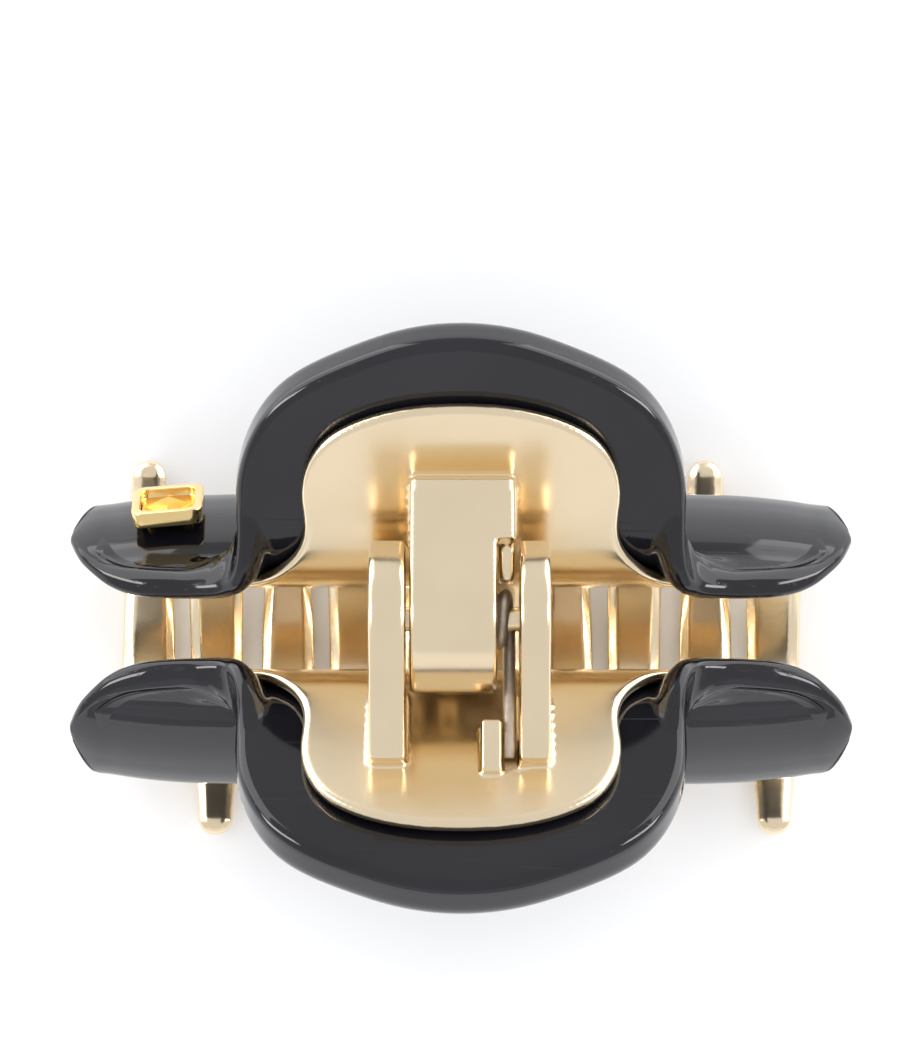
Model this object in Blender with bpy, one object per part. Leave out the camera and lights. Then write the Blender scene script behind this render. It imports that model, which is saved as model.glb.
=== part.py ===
"""Hair claw clip: two acetate-covered metal jaws on one sprung hinge.

Metres, +Z up. +X runs along the hinge and the jaws open along Y. The origin is on the
surface that the clip stands on, straight under the middle of the hinge. The front jaw is
on the -Y side and carries the pin. The rear jaw is the same jaw turned half round about Z.
"""

import math

import bmesh
import bpy
from mathutils import Matrix, Vector

MM = 0.001

# ---------------------------------------------------------------- driving dimensions

FIT_GAP = 0.3 * MM               # between pieces that touch on the real clip

# Jaw profile, seen along the hinge. It is followed by its arc length s, from 0 at the
# waist, where the jaws are closest, up the handle and, with s negative, down the body.
WAIST_GAP = 2.9 * MM             # middle plane to the frame's inner face at the waist
WAIST_RADIUS = 6.0 * MM
HANDLE_SLOPE = math.radians(38)  # handle plate above horizontal
WAIST_DOWN = math.radians(45)    # turn of the waist arc below the waist
BODY_RADIUS = 9.6 * MM           # inner face of the round body and of the teeth's roots

# Frame
PLATE = 1.0 * MM                 # thickness of the metal plate
PLATE_ROUND = 0.4 * MM
TOOTH_COUNT = 5
TOOTH_PITCH = 10.3 * MM
TOOTH_SHIFT = -2.5 * MM          # middle tooth of the front jaw, off the centre line
TOOTH_WIDTH = 4.3 * MM           # at the root
TOOTH_TIP_WIDTH = 2.7 * MM
TOOTH_THICKNESS = 1.9 * MM
TOOTH_REACH = 13.6 * MM          # how far a tooth passes beyond the middle plane
TOOTH_RISE_RADIUS = 40.0 * MM    # of the long, nearly level stretch to the tip
TOOTH_BEVEL = 0.7 * MM           # across the tooth
TOOTH_BEVEL_DEPTH = 0.5          # of the bar's half thickness
TOOTH_TURNS = (22, 31, 40, 50, 62, 76, 90)  # degrees round the body, from root to bottom
TOOTH_RATIOS = (0.25, 0.5, 0.75, 0.92, 0.985, 1.0)  # of the way from bottom to tip
TOOTH_NOSE = 0.85                # where the tip starts to round off

# Shell
SHELL_SEAT = PLATE + FIT_GAP     # offset of the shell's seat from the frame's inner face
SHELL_ROUND = 2.0 * MM           # bull nose round the handle
EDGE_ROUND = 0.44                # of the thickness, where the shell is thinner
SHELL_FOOT = 0.5 * MM            # round of the lower edge
LIP_WIDTH = 0.15 * MM            # rim that covers the frame's edge along the wings
LIP_IN = -0.8 * MM               # how far that rim stands inside the frame's inner face
LIP_START = 8.5 * MM             # |x| where the rim starts to step inwards
LIP_FULL = 15.0 * MM

# Hinge
PIN_RISE = 8.7 * MM              # pin's axis above the waist
PIN_RADIUS = 0.85 * MM
BORE_RADIUS = 1.0 * MM
PIN_ENDS = (-6.5 * MM, 6.2 * MM)
EAR_RADIUS = 5.5 * MM
EAR_SPANS = ((-6.65 * MM, -3.85 * MM), (4.05 * MM, 6.35 * MM))
EAR_ROOT = 9.8 * MM              # distance of the ears' roots from the middle plane
HOOD_RADIUS = 5.2 * MM
HOOD_ROOF = 1.4 * MM
HOOD_SPAN = (-3.55 * MM, 3.75 * MM)
HOOD_CHEEK = (-3.5 * MM, -2.75 * MM)
HOOD_WEB = (-1.5 * MM, -0.3 * MM)
HOOD_SIDE = (2.6 * MM, 3.7 * MM)  # short right cheek with a tab beside the coil
HOOD_NOTCH = (2.5 * MM, 5.4 * MM)  # x and y where the roof stops, clear of the spring's leg
HOOD_ROOT = 9.9 * MM
LUG_SPAN = (1.25 * MM, 2.55 * MM)
LUG_PLACE = (6.95 * MM, 10.6 * MM)  # distances from the middle plane, along the front plate
LUG_TOP = 0.9                    # height in mm of its level top over the pin
WALL_SPAN = (4.1 * MM, 4.8 * MM)
WALL_PLACE = (9.0 * MM, 10.4 * MM)
WALL_HEIGHT = 1.1 * MM

# Side views of the hinge blocks: points in mm as (distance from the middle plane, height
# over the pin), and arcs round the pin as (radius in mm, first angle, last angle)
EAR_FACET = ((5.38, -1.2), (5.45, 0.8))
EAR_LOBE = (EAR_RADIUS / MM, 39, 112)
EAR_TOP = ((-EAR_ROOT / MM, 1.9),)
EAR_FOOT = 5.6 * MM
EAR_UNDER = (4.7, 232, 340)
ROOF_OUTSIDE = (HOOD_RADIUS / MM, 192, 70)
ROOF_TOP = ((8.7, 2.7), (HOOD_ROOT / MM, 0.9))
ROOF_FOOT = 9.5 * MM
ROOF_CORNER = ((8.4, 1.1),)
ROOF_INSIDE = ((HOOD_RADIUS - HOOD_ROOF) / MM, 66, 192)
CHEEK_TOP = ((HOOD_RADIUS - HOOD_ROOF / 2) / MM, 188, 66)
CHEEK_CORNER = ((8.4, 1.9),)
CHEEK_FEET = (9.3 * MM, 5.8 * MM)
CHEEK_UNDER = (3.1, -50, -170)
SIDE_TOP = ((5.5, 3.2), (8.4, 1.9))
SIDE_FEET = (9.3 * MM, 6.0 * MM)
SIDE_TAB = ((4.9, -2.6), (2.5, -1.1), (2.5, 1.7), (2.9, 2.0), (5.5, 2.0))

# Spring
WIRE_RADIUS = 0.45 * MM
COIL_RADIUS = 1.65 * MM
COIL_PITCH = 0.95 * MM
COIL_TURNS = 3
COIL_RIGHT = 3.35 * MM           # x of the leg that rests on the front plate
LEG_ENDS = (9.9 * MM, 8.3 * MM)  # where the front and the rear leg rest, from the middle

# Locating studs: place on the jaw (x, s) and length from the frame's inner face
STUD_RADIUS = 0.8 * MM
STUD_PLACES = {"left": (-19.0 * MM, -11.0 * MM, 2.1 * MM),
               "right": (19.0 * MM, -11.0 * MM, 2.1 * MM),
               "top": (0.0, 14.0 * MM, 3.6 * MM)}
STUD_START = 0.5 * MM
STUD_PLAY = 0.15 * MM

# Ornament on the rear shell's left wing
ORNAMENT_SIZE = 5.1 * MM
ORNAMENT_DEPTH = 1.2 * MM
ORNAMENT_ROUND = 0.9 * MM
ORNAMENT_WALL = 0.6 * MM
ORNAMENT_RECESS = 0.7 * MM
ORNAMENT_STANDOFF = 0.55 * MM
ORNAMENT_PLACE = (20.9 * MM, -7.6 * MM)  # x on the jaw before it is turned round, and s
ORNAMENT_TILT = math.radians(5)  # its tip side lower, like the wing's crown
POST_RADIUS = 0.45 * MM
POST_SPACING = 2.6 * MM
POST_DEPTH = 0.6 * MM            # into the shell
PYRAMID_BASE = 1.9 * MM          # corner radius of the raised centre
PYRAMID_TOP = 0.7 * MM
PYRAMID_HEIGHT = 0.5 * MM

# Edges of the plate and the shell as ribs from the centre line to the right end, in mm:
# (bottom x, bottom s, top x, top s). The left half mirrors them.
PLATE_RIBS = ((0.0, -17.0, 0.0, 17.15), (2.5, -17.0, 4.9, 16.65), (5.0, -17.0, 9.0, 14.85),
              (6.8, -17.0, 10.8, 12.2), (8.4, -17.0, 11.2, 9.6), (9.8, -17.0, 10.95, 7.0),
              (11.0, -17.0, 11.4, 5.2), (12.2, -17.0, 12.45, 3.5), (13.6, -17.0, 13.9, 1.65),
              (15.6, -17.0, 15.6, -0.2), (17.9, -17.0, 17.7, -1.4), (20.4, -17.0, 20.3, -2.6),
              (22.7, -17.0, 22.6, -4.2), (24.2, -16.6, 24.1, -6.6), (25.0, -15.8, 25.0, -9.8))
SHELL_RIBS = ((0.0, -17.3, 0.0, 21.7), (2.2, -17.3, 4.0, 21.2), (4.0, -17.3, 7.8, 19.7),
              (6.2, -17.3, 12.3, 17.3), (8.0, -17.3, 14.8, 13.6), (9.6, -17.3, 15.9, 9.2),
              (11.4, -17.3, 15.65, 5.0), (13.6, -17.3, 16.4, 1.9), (16.6, -17.3, 18.8, 0.35),
              (20.4, -17.1, 22.2, -0.45), (23.3, -16.3, 24.9, -1.95), (25.7, -14.2, 26.45, -3.7),
              (27.15, -11.4, 27.45, -5.2), (27.85, -8.8, 28.0, -6.8))

# Outer face of the shell, in mm: (s, offset from the frame's inner face)
MIDDLE_OFFSETS = ((-17.3, 2.7), (-12.2, 3.4), (-6.0, 3.9), (0.0, 4.6), (6.0, 5.3))
WING_OFFSETS = ((-17.3, 2.5), (-13.5, 3.0), (-12.2, 3.05), (-11.0, 2.8), (-9.5, 2.45),
                (-7.1, 2.1), (-4.7, 1.9), (-2.6, 1.6), (-1.0, 1.15), (0.0, 1.0))
# The wings' crown, in mm: (|x|, fall of the outer face, rise of the rim's inner face)
WING_CROWN = ((17.0, 0.0, 0.0), (20.0, 0.1, 0.0), (22.4, 0.3, 0.05), (24.0, 0.5, 0.2),
              (25.3, 0.7, 0.5), (26.3, 0.8, 0.85), (27.3, 0.95, 1.05), (28.0, 1.05, 1.15))
WING_START = 12.0 * MM           # |x| where the thick middle starts to thin out
WING_FULL = 17.0 * MM            # |x| where the wing has its own thickness
WING_END = 28.1 * MM
SEAT_END = 25.6 * MM             # |x| beyond the frame, where the seat bends inwards
SEAT_FALL = 1.1 * MM
MIDDLE_LEAN = 0.9                # widening of the thick middle per step up the handle

# Mesh density
PLATE_STATIONS = 30              # ribs over the whole width
SHELL_STATIONS = 34
FACE_STEPS = 11                  # steps down a face, edge to edge
RIB_SAMPLES = 48
CURVED_WEIGHT = 3.0              # how much closer points lie where the profile is curved
RIB_PULL = 0.35                  # share of a rib over which it runs square to the edge
RIB_PULL_LIMIT = 5 * MM
ROUND_SIDES = 20
SMALL_SIDES = 16

# ---------------------------------------------------------------- derived values

WAIST_UP = math.pi / 2 - HANDLE_SLOPE
STRAIGHT_START = WAIST_RADIUS * WAIST_UP
BODY_START = -WAIST_RADIUS * WAIST_DOWN
WAIST_CENTRE = Vector((WAIST_GAP + WAIST_RADIUS, 0.0))
BODY_CENTRE = WAIST_CENTRE - (WAIST_RADIUS + BODY_RADIUS) * Vector(
    (math.cos(WAIST_DOWN), math.sin(WAIST_DOWN)))
WAIST_Z = BODY_RADIUS + TOOTH_THICKNESS - BODY_CENTRE.y
PIN_Z = WAIST_Z + PIN_RISE
HALF_TURN = Matrix.Rotation(math.pi, 4, "Z")

# ---------------------------------------------------------------- scene and materials


def clear_scene():
    for item in list(bpy.data.objects):
        bpy.data.objects.remove(item, do_unlink=True)


def new_collection(name):
    collection = bpy.data.collections.new(name)
    bpy.context.scene.collection.children.link(collection)
    return collection


def new_material(name, colour, roughness, metallic):
    material = bpy.data.materials.new(name)
    material.use_nodes = True
    shader = material.node_tree.nodes["Principled BSDF"]
    shader.inputs["Base Color"].default_value = (*colour, 1.0)
    shader.inputs["Roughness"].default_value = roughness
    shader.inputs["Metallic"].default_value = metallic
    return material


def place_in(item, collection):
    for owner in list(item.users_collection):
        owner.objects.unlink(item)
    collection.objects.link(item)


def as_part(item, name, material):
    """Make an object a finished, visible sub-part."""
    item.name = name
    item.data.materials.clear()
    item.data.materials.append(material)
    item.data.shade_smooth()
    item.data.set_sharp_from_angle(angle=math.radians(35))
    place_in(item, PARTS)
    return item


def as_tool(item):
    """Make an object a hidden operand of a Boolean."""
    item.hide_render = True
    item.display_type = "WIRE"
    place_in(item, TOOLS)
    return item


def combine(target, tool, operation):
    modifier = target.modifiers.new(tool.name, "BOOLEAN")
    modifier.operation = operation
    modifier.solver = "EXACT"
    modifier.object = as_tool(tool)


def join(target, tool):
    combine(target, tool, "UNION")


def cut(target, tool):
    combine(target, tool, "DIFFERENCE")


# ---------------------------------------------------------------- general shapes


def mesh_object(name, work):
    mesh = bpy.data.meshes.new(name)
    work.to_mesh(mesh)
    work.free()
    item = bpy.data.objects.new(name, mesh)
    PARTS.objects.link(item)
    return item


def loft(name, sections):
    """Closed solid through rings that all have the same number of points."""
    work = bmesh.new()
    rings = [[work.verts.new(point) for point in section] for section in sections]
    for ring, following in zip(rings, rings[1:]):
        for index, corner in enumerate(ring):
            after = (index + 1) % len(ring)
            work.faces.new((corner, ring[after], following[after], following[index]))
    work.faces.new(rings[0])
    work.faces.new(rings[-1])
    bmesh.ops.recalc_face_normals(work, faces=work.faces)
    return mesh_object(name, work)


def mesh_from_curve(curve):
    """Turn a curve object into a welded mesh object."""
    bpy.context.view_layer.update()
    depsgraph = bpy.context.evaluated_depsgraph_get()
    mesh = bpy.data.meshes.new_from_object(curve.evaluated_get(depsgraph))
    work = bmesh.new()
    work.from_mesh(mesh)
    bmesh.ops.remove_doubles(work, verts=work.verts, dist=0.001 * MM)
    bmesh.ops.recalc_face_normals(work, faces=work.faces)
    work.to_mesh(mesh)
    work.free()
    item = bpy.data.objects.new(curve.name, mesh)
    item.matrix_world = curve.matrix_world.copy()
    PARTS.objects.link(item)
    bpy.data.objects.remove(curve, do_unlink=True)
    return item


def poly_curve(name, points, cyclic):
    data = bpy.data.curves.new(name, "CURVE")
    spline = data.splines.new("POLY")
    spline.points.add(len(points) - 1)
    for target, point in zip(spline.points, points):
        target.co = (*point, 1.0)
    spline.use_cyclic_u = cyclic
    item = bpy.data.objects.new(name, data)
    PARTS.objects.link(item)
    return item


def side_block(name, outline, span):
    """Block with an outline of (y, z) points, across a span of x."""
    curve = poly_curve(name, [(y, z, 0.0) for y, z in outline], cyclic=True)
    curve.data.dimensions = "2D"
    curve.data.fill_mode = "BOTH"
    curve.data.extrude = (span[1] - span[0]) / 2
    axes = Matrix(((0, 0, 1), (1, 0, 0), (0, 1, 0))).to_4x4()
    curve.matrix_world = Matrix.Translation(((span[0] + span[1]) / 2, 0, 0)) @ axes
    return mesh_from_curve(curve)


def cylinder(name, radius, start, end, place, sides):
    """Cylinder along the place's Z axis, from start to end on it."""
    work = bmesh.new()
    bmesh.ops.create_cone(work, cap_ends=True, segments=sides, radius1=radius,
                          radius2=radius, depth=end - start,
                          matrix=Matrix.Translation((0, 0, (start + end) / 2)))
    item = mesh_object(name, work)
    item.matrix_world = place
    return item


def round_pin(arc, steps):
    """Points (y, z) on an arc round the pin, with its angles taken from +Y towards +Z."""
    radius, start, end = arc
    angles = [math.radians(start + (end - start) * step / steps) for step in range(steps + 1)]
    return [(radius * MM * math.cos(angle), PIN_Z + radius * MM * math.sin(angle))
            for angle in angles]


def over_pin(points):
    """Points (y, z) from a table of distances and heights over the pin in mm."""
    return [(distance * MM, PIN_Z + height * MM) for distance, height in points]


def blend(value, low, high):
    """0 below low, 1 above high, and a smooth ramp in between."""
    ratio = min(max((value - low) / (high - low), 0.0), 1.0)
    return ratio * ratio * (3 - 2 * ratio)


def read_off(table, s):
    """Value at s from a table of (s, value) in mm, straight between its rows."""
    place = s / MM
    if place <= table[0][0]:
        return table[0][1] * MM
    for (low, first), (high, second) in zip(table, table[1:]):
        if place <= high:
            return (first + (second - first) * (place - low) / (high - low)) * MM
    return table[-1][1] * MM


# ---------------------------------------------------------------- the jaw's surface


def profile(s):
    """Point (u, z) of the jaw's inner face at arc length s, and its outward normal."""
    if s > STRAIGHT_START:
        along = Vector((math.cos(HANDLE_SLOPE), math.sin(HANDLE_SLOPE)))
        normal = Vector((along.y, -along.x))
        return WAIST_CENTRE - WAIST_RADIUS * normal + (s - STRAIGHT_START) * along, normal
    if s > BODY_START:
        turn = s / WAIST_RADIUS
        normal = Vector((math.cos(turn), -math.sin(turn)))
        return WAIST_CENTRE - WAIST_RADIUS * normal, normal
    turn = WAIST_DOWN + (s - BODY_START) / BODY_RADIUS
    normal = Vector((math.cos(turn), math.sin(turn)))
    return BODY_CENTRE + BODY_RADIUS * normal, normal


def jaw_point(x, s, offset):
    """Point of the front jaw at x and s, offset outwards from the frame's inner face."""
    point, normal = profile(s)
    point = point + offset * normal
    return Vector((x, -point.x, WAIST_Z + point.y))


def jaw_place(x, s, offset):
    """Matrix of a place on the front jaw: Z outwards, X along the hinge."""
    outwards = (jaw_point(x, s, MM) - jaw_point(x, s, 0.0)).normalized()
    across = Vector((1, 0, 0))
    axes = Matrix((across, outwards.cross(across), outwards)).transposed()
    return Matrix.Translation(jaw_point(x, s, offset)) @ axes.to_4x4()


def s_at(u):
    """Arc length at which the handle's straight part is u from the middle plane."""
    start, _ = profile(STRAIGHT_START)
    return STRAIGHT_START + (u - start.x) / math.cos(HANDLE_SLOPE)


def curve_through(points, t):
    """Point at t, from 0 to 1, on the Catmull-Rom curve through the points.

    The first point is on the centre line, where the curve is level.
    """
    scaled = min(max(t, 0.0), 1.0) * (len(points) - 1)
    index = min(int(scaled), len(points) - 2)
    ratio = scaled - index
    start = points[index]
    end = points[index + 1]
    before = points[index - 1] if index else Vector((-end.x, end.y))
    after = points[index + 2] if index + 2 < len(points) else 2 * end - start
    return 0.5 * (2 * start + (end - before) * ratio
                  + (2 * before - 5 * start + 4 * end - after) * ratio ** 2
                  + (3 * start - before - 3 * end + after) * ratio ** 3)


def edge_at(points, t, outside):
    """Point and outward normal of an edge, for t from -1 at the left to 1 at the right.

    At both ends the normal turns along s, so that the last rib lies straight across.
    """
    step = 0.01
    place = curve_through(points, abs(t))
    run = curve_through(points, abs(t) + step) - curve_through(points, abs(t) - step)
    if t == 0:
        run = Vector((1.0, 0.0))
    normal = outside * Vector((-run.y, run.x)).normalized()
    normal = normal.lerp(Vector((0.0, outside)), blend(abs(t), 0.8, 1.0)).normalized()
    if t < 0:
        place = Vector((-place.x, place.y))
        normal = Vector((-normal.x, normal.y))
    return place, normal


def bent_rib(top, top_normal, bottom, bottom_normal, count):
    """Points (x, s) from the top edge to the bottom edge, square to both edges.

    They lie closer together where the profile is curved.
    """
    reach = min(RIB_PULL * (top - bottom).length, RIB_PULL_LIMIT)
    ends = (top, top - reach * top_normal, bottom - reach * bottom_normal, bottom)
    path = []
    for step in range(RIB_SAMPLES + 1):
        t = step / RIB_SAMPLES
        path.append((1 - t) ** 3 * ends[0] + 3 * t * (1 - t) ** 2 * ends[1]
                    + 3 * t * t * (1 - t) * ends[2] + t ** 3 * ends[3])
    lengths = [0.0]
    for first, second in zip(path, path[1:]):
        middle = (first.y + second.y) / 2
        weight = 1.0 if middle > STRAIGHT_START else CURVED_WEIGHT
        lengths.append(lengths[-1] + weight * (second - first).length)
    points = []
    index = 0
    for step in range(count + 1):
        wanted = lengths[-1] * step / count
        while index < RIB_SAMPLES - 1 and lengths[index + 1] < wanted:
            index += 1
        ratio = (wanted - lengths[index]) / (lengths[index + 1] - lengths[index])
        points.append(path[index].lerp(path[index + 1], ratio))
    return points


# ---------------------------------------------------------------- plate and shell


def rib_edges(ribs):
    top = [Vector((row[2], row[3])) * MM for row in ribs]
    bottom = [Vector((row[0], row[1])) * MM for row in ribs]
    return top, bottom


def nose(place, normal, depth, inner, outer, steps, downwards):
    """Points (x, s, offset) round an edge, from the inner face to the outer one."""
    middle = (inner + outer) / 2
    half = (outer - inner) / 2
    points = []
    for step in range(steps + 1):
        angle = math.pi * step / steps - math.pi / 2
        spot = place - depth * (1 - math.cos(angle)) * normal
        points.append((spot.x, spot.y, middle + half * math.sin(angle)))
    return points[::-1] if downwards else points


def plate_solid(name):
    """Metal plate of one jaw, without teeth or hinge."""
    top, bottom = rib_edges(PLATE_RIBS)
    sections = []
    for station in range(PLATE_STATIONS + 1):
        t = 2 * station / PLATE_STATIONS - 1
        upper, upper_normal = edge_at(top, t, 1)
        lower, lower_normal = edge_at(bottom, t, -1)
        rib = bent_rib(upper - PLATE_ROUND * upper_normal, upper_normal,
                       lower - PLATE_ROUND * lower_normal, lower_normal, FACE_STEPS)
        ring = nose(upper, upper_normal, PLATE_ROUND, 0.0, PLATE, 2, False)
        ring += [(spot.x, spot.y, PLATE) for spot in rib[1:-1]]
        ring += nose(lower, lower_normal, PLATE_ROUND, 0.0, PLATE, 2, True)
        ring += [(spot.x, spot.y, 0.0) for spot in rib[-2:0:-1]]
        sections.append([jaw_point(*spot) for spot in ring])
    return loft(name, sections)


def crown(x, column):
    """A column of the crown table at x."""
    return read_off([(row[0], row[column]) for row in WING_CROWN], abs(x))


def shell_outer(x, s):
    """Offset of the shell's outer face at (x, s)."""
    wing = blend(abs(x) - MIDDLE_LEAN * max(s, 0.0), WING_START, WING_FULL)
    middle = read_off(MIDDLE_OFFSETS, s)
    thin = read_off(WING_OFFSETS, s) - crown(x, 1)
    return middle + wing * (thin - middle)


def shell_inner(x, s, near_edge):
    """Offset of the shell's inner face: on the frame, or proud of it on the wings' rim."""
    if not near_edge:
        return SHELL_SEAT - SEAT_FALL * blend(abs(x), SEAT_END, WING_END)
    rim = blend(abs(x) - MIDDLE_LEAN * max(s, 0.0), LIP_START, LIP_FULL)
    return SHELL_SEAT + rim * (LIP_IN + crown(x, 2) - SHELL_SEAT)


def end_taper(x):
    """1 along the jaw, falling in a round curve at the wing's very end."""
    left = min((WING_END - abs(x)) / MM, 1.0)
    return math.sqrt(1 - (1 - left) ** 2)


def squeezed(inner, outer, x):
    """Inner and outer offset drawn together towards the wing's end."""
    middle = (inner + outer) / 2
    half = (outer - inner) / 2 * end_taper(x)
    return middle - half, middle + half


def shell_solid(name):
    """Acetate shell of one jaw, with a bull nose round the handle and a lip on the wings."""
    top, bottom = rib_edges(SHELL_RIBS)
    sections = []
    for station in range(SHELL_STATIONS + 1):
        t = 2 * station / SHELL_STATIONS - 1
        upper, upper_normal = edge_at(top, t, 1)
        lower, lower_normal = edge_at(bottom, t, -1)
        outer = shell_outer(upper.x, upper.y)
        inner = shell_inner(upper.x, upper.y, True)
        depth = min(SHELL_ROUND, EDGE_ROUND * (outer - inner))
        rib = bent_rib(upper - depth * upper_normal, upper_normal,
                       lower - SHELL_FOOT * lower_normal, lower_normal, FACE_STEPS)
        ring = nose(upper, upper_normal, depth, *squeezed(inner, outer, upper.x), 4, False)
        for spot in rib[1:-1]:
            sides = squeezed(shell_inner(spot.x, spot.y, False),
                             shell_outer(spot.x, spot.y), spot.x)
            ring.append((spot.x, spot.y, sides[1]))
        low_sides = squeezed(shell_inner(lower.x, lower.y, False),
                             shell_outer(lower.x, lower.y), lower.x)
        ring += nose(lower, lower_normal, SHELL_FOOT, *low_sides, 2, True)
        for spot in rib[-2:0:-1]:
            sides = squeezed(shell_inner(spot.x, spot.y, False),
                             shell_outer(spot.x, spot.y), spot.x)
            ring.append((spot.x, spot.y, sides[0]))
        lip_end = upper - (depth + LIP_WIDTH) * upper_normal
        lip_foot = lip_end - LIP_WIDTH / 2 * upper_normal
        seat = shell_inner(upper.x, upper.y, False)
        ring.append((lip_foot.x, lip_foot.y, squeezed(seat, outer, upper.x)[0]))
        ring.append((lip_end.x, lip_end.y, squeezed(inner, outer, upper.x)[0]))
        sections.append([jaw_point(*spot) for spot in ring])
    return loft(name, sections)


# ---------------------------------------------------------------- teeth


def tooth_stations():
    """Stations down a tooth: inner face (u, z), outward normal, width and thickness."""
    rows = []
    for turn in TOOTH_TURNS:
        angle = math.radians(turn)
        normal = Vector((math.cos(angle), -math.sin(angle)))
        down = blend(turn, 30, 62)
        thickness = 0.8 * PLATE + down * (TOOTH_THICKNESS - 0.8 * PLATE)
        sunk = 0.1 * PLATE * (1 - down)
        rows.append((BODY_CENTRE + (BODY_RADIUS + sunk) * normal, normal, 0.0, thickness))
    lowest = BODY_CENTRE - Vector((0.0, BODY_RADIUS))
    reach = TOOTH_REACH + lowest.x
    last = math.asin(reach / TOOTH_RISE_RADIUS)
    for ratio in TOOTH_RATIOS:
        angle = last * ratio
        point = lowest + TOOTH_RISE_RADIUS * Vector((-math.sin(angle), 1 - math.cos(angle)))
        normal = Vector((-math.sin(angle), -math.cos(angle)))
        rows.append((point, normal, ratio, TOOTH_THICKNESS))
    return rows


def tooth_solid(name, x):
    """One tooth of the front jaw, an octagonal bar that tapers to a round tip."""
    sections = []
    for point, normal, ratio, thickness in tooth_stations():
        width = TOOTH_WIDTH + blend(ratio, -0.6, 1.0) * (TOOTH_TIP_WIDTH - TOOTH_WIDTH)
        rounding = max(ratio - TOOTH_NOSE, 0.0) / (1 - TOOTH_NOSE)
        shrink = math.sqrt(max(1 - rounding ** 2, 0.09))
        middle = point + normal * thickness / 2
        half_width = width / 2 * shrink
        half_depth = thickness / 2 * shrink
        flat = half_width - shrink * TOOTH_BEVEL
        side = half_depth * (1 - TOOTH_BEVEL_DEPTH)
        corners = ((half_width, side), (flat, half_depth), (-flat, half_depth),
                   (-half_width, side), (-half_width, -side), (-flat, -half_depth),
                   (flat, -half_depth), (half_width, -side))
        ring = []
        for across, depth in corners:
            spot = middle + depth * normal
            ring.append(Vector((x + across, -spot.x, WAIST_Z + spot.y)))
        sections.append(ring)
    return loft(name, sections)


def jaw_frame(name):
    """Plate of one jaw with its teeth, as on the front jaw."""
    frame = plate_solid(name)
    for index in range(TOOTH_COUNT):
        x = TOOTH_SHIFT + (index - (TOOTH_COUNT - 1) / 2) * TOOTH_PITCH
        join(frame, tooth_solid(f"{name}_tooth_{index + 1}", x))
    return frame


# ---------------------------------------------------------------- hinge


def plate_line(first, last, steps):
    """Points (y, z) in the middle of the front plate, from one u to another."""
    points = []
    for step in range(steps + 1):
        spot = jaw_point(0.0, s_at(first + (last - first) * step / steps), PLATE / 2)
        points.append((spot.y, spot.z))
    return points


def mirrored(points):
    return [(-y, z) for y, z in points]


def ear_outline():
    """Side view of an ear: lobe round the pin, and a top that slopes down to the plate."""
    upper = over_pin(EAR_FACET) + round_pin(EAR_LOBE, 6) + over_pin(EAR_TOP)
    return upper + plate_line(EAR_ROOT, EAR_FOOT, 3) + round_pin(EAR_UNDER, 7)


def roof_outline():
    """Side view of the hood's roof, which curls down round the pin at its free end."""
    outside = round_pin(ROOF_OUTSIDE, 9) + over_pin(ROOF_TOP)
    inside = over_pin(ROOF_CORNER) + round_pin(ROOF_INSIDE, 7)
    return outside + mirrored(plate_line(HOOD_ROOT, ROOF_FOOT, 1)) + inside


def cheek_outline():
    """Side view of the hood's bearing cheeks, whose tops lie inside the roof."""
    upper = round_pin(CHEEK_TOP, 6) + over_pin(CHEEK_CORNER)
    return upper + mirrored(plate_line(*CHEEK_FEET, 3)) + round_pin(CHEEK_UNDER, 6)


def side_outline():
    """Side view of the short right cheek, which ends in a low tab beside the coil."""
    return over_pin(SIDE_TOP) + mirrored(plate_line(*SIDE_FEET, 3)) + over_pin(SIDE_TAB)


def hood_roof():
    """Roof of the hood, notched at its right-hand front corner."""
    roof = side_block("hood_roof", roof_outline(), HOOD_SPAN)
    start, end = HOOD_NOTCH
    reach = 2 * HOOD_RADIUS / MM
    corner = over_pin(((-reach, -reach), (end / MM, -reach), (end / MM, reach), (-reach, reach)))
    cut(roof, side_block("hood_notch", corner, (start, HOOD_SPAN[1] + MM)))
    return roof


def wall_outline(start, end, height):
    """Side view of a low wall on the front plate, between two distances from the middle."""
    foot_low = jaw_point(0.0, s_at(start), PLATE / 2)
    foot_high = jaw_point(0.0, s_at(end), PLATE / 2)
    top_high = jaw_point(0.0, s_at(end), -height)
    top_low = jaw_point(0.0, s_at(start), -height)
    return [(spot.y, spot.z) for spot in (foot_low, foot_high, top_high, top_low)]


def lug_outline(start, end):
    """Side view of the lug, which stands on the sloping front plate and has a level top."""
    foot = plate_line(end, start, 1)
    return foot + over_pin(((-start / MM, LUG_TOP), (-end / MM, LUG_TOP)))


def hinge_place():
    """Matrix at the hinge, with Z along +X."""
    return Matrix.Translation((0, 0, PIN_Z)) @ Matrix.Rotation(math.pi / 2, 4, "Y")


def bore(name):
    return cylinder(name, BORE_RADIUS, -8 * MM, 8 * MM, hinge_place(), ROUND_SIDES)


def leg_line(reach, side):
    """Start angle on the coil and end point (y, z) of a leg that rests on a plate."""
    plate = jaw_point(0.0, s_at(reach), -(WIRE_RADIUS + FIT_GAP))
    rise = plate.z - PIN_Z
    distance = math.hypot(plate.y, rise)
    bearing = math.atan2(rise, -plate.y)
    angle = bearing - math.acos(COIL_RADIUS / distance)
    if side > 0:
        return angle, (-plate.y, rise)
    return math.pi - angle, (plate.y, rise)


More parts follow.
